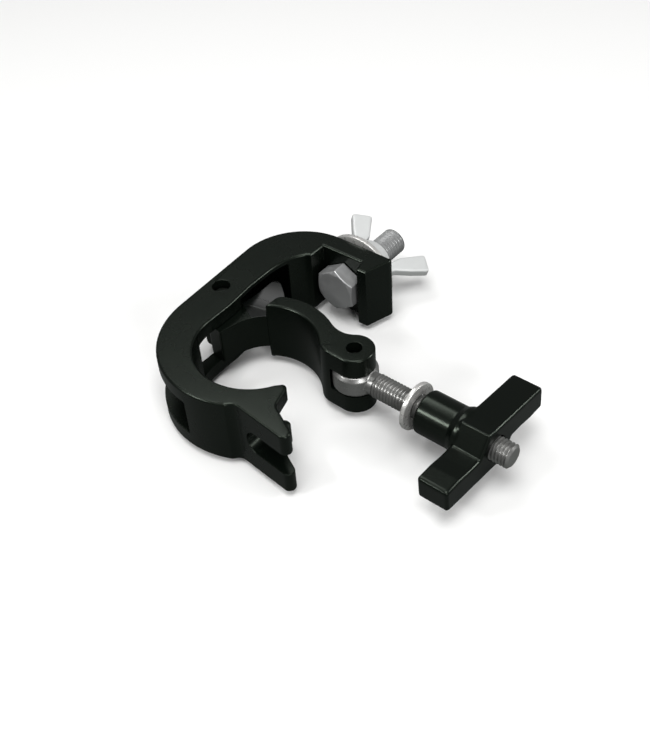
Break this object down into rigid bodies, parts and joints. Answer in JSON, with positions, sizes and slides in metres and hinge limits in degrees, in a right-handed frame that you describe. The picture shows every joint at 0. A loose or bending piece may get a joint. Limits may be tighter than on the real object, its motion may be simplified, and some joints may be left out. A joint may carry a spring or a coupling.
{
  "type": "pipe clamp",
  "caption": "Hooked pipe clamp for stage tube: swinging jaw with eyebolt and T-handle, forked tail, and a hex bolt with wing nut for a lamp's yoke.",
  "frame": {"origin": "bottom centre of the clamp's box as it lies on its side", "axes": "+X from the body's back towards the T-handle, +Y along the mounting bolt towards the wing nut, +Z along the tube"},
  "size_m": [0.1504, 0.1388, 0.0348],
  "materials": {
    "body_coat": "black powder coat, satin",
    "arm_coat": "black powder coat, satin, over milled steps",
    "handle_coat": "black powder coat, satin, on a die casting",
    "pin_steel": "black oxide on turned steel",
    "eyebolt_steel": "zinc plated, rolled thread",
    "washer_steel": "zinc plated, stamped",
    "bolt_steel": "zinc plated, forged head, rolled thread",
    "nut_cast": "zinc die casting, matte"
  },
  "bodies": {
    "clamp_body": {"body": "body_coat", "mounting_bolt": "bolt_steel", "arm_pivot_pin": "pin_steel"},
    "arm": {"swing_arm": "arm_coat", "eyebolt_pin": "pin_steel"},
    "eyebolt": {"eyebolt": "eyebolt_steel"},
    "screw_washer": {"eyebolt_washer": "washer_steel"},
    "handle": {"t_handle": "handle_coat"},
    "nut_washer": {"bolt_washer": "washer_steel"},
    "nut": {"wing_nut": "nut_cast"}
  },
  "joints": [
    {"name": "arm_swing", "type": "hinge", "parent": "clamp_body", "child": "arm", "pos_m": [-0.06689, -0.01435, 0.0174], "axis": [0, 0, 1], "range_deg": [-10, 30]},
    {"name": "eyebolt_swing", "type": "hinge", "parent": "arm", "child": "eyebolt", "pos_m": [0.00131, -0.01245, 0.0174], "axis": [0, 0, 1], "range_deg": [-45, 50]},
    {"name": "handle_travel", "type": "slide", "parent": "eyebolt", "child": "screw_washer", "axis": [0.9996, -0.03, 0], "range_m": [-0.0101, 0.0281]},
    {"name": "handle_spin", "type": "hinge", "parent": "screw_washer", "child": "handle", "pos_m": [0.05128, -0.01395, 0.0174], "axis": [0.9996, -0.03, 0], "range_deg": [-2400, 6720]},
    {"name": "nut_travel", "type": "slide", "parent": "clamp_body", "child": "nut_washer", "axis": [0, 1, 0], "range_m": [0, 0.0123]},
    {"name": "nut_spin", "type": "hinge", "parent": "nut_washer", "child": "nut", "pos_m": [-0.03789, 0.04865, 0.0174], "axis": [0, 1, 0], "range_deg": [0, 2520]}
  ],
  "couplings": [
    {"joint": "handle_travel", "follows": "handle_spin", "m_per_rad": 0.00023873},
    {"joint": "nut_travel", "follows": "nut_spin", "m_per_rad": 0.00027852}
  ]
}
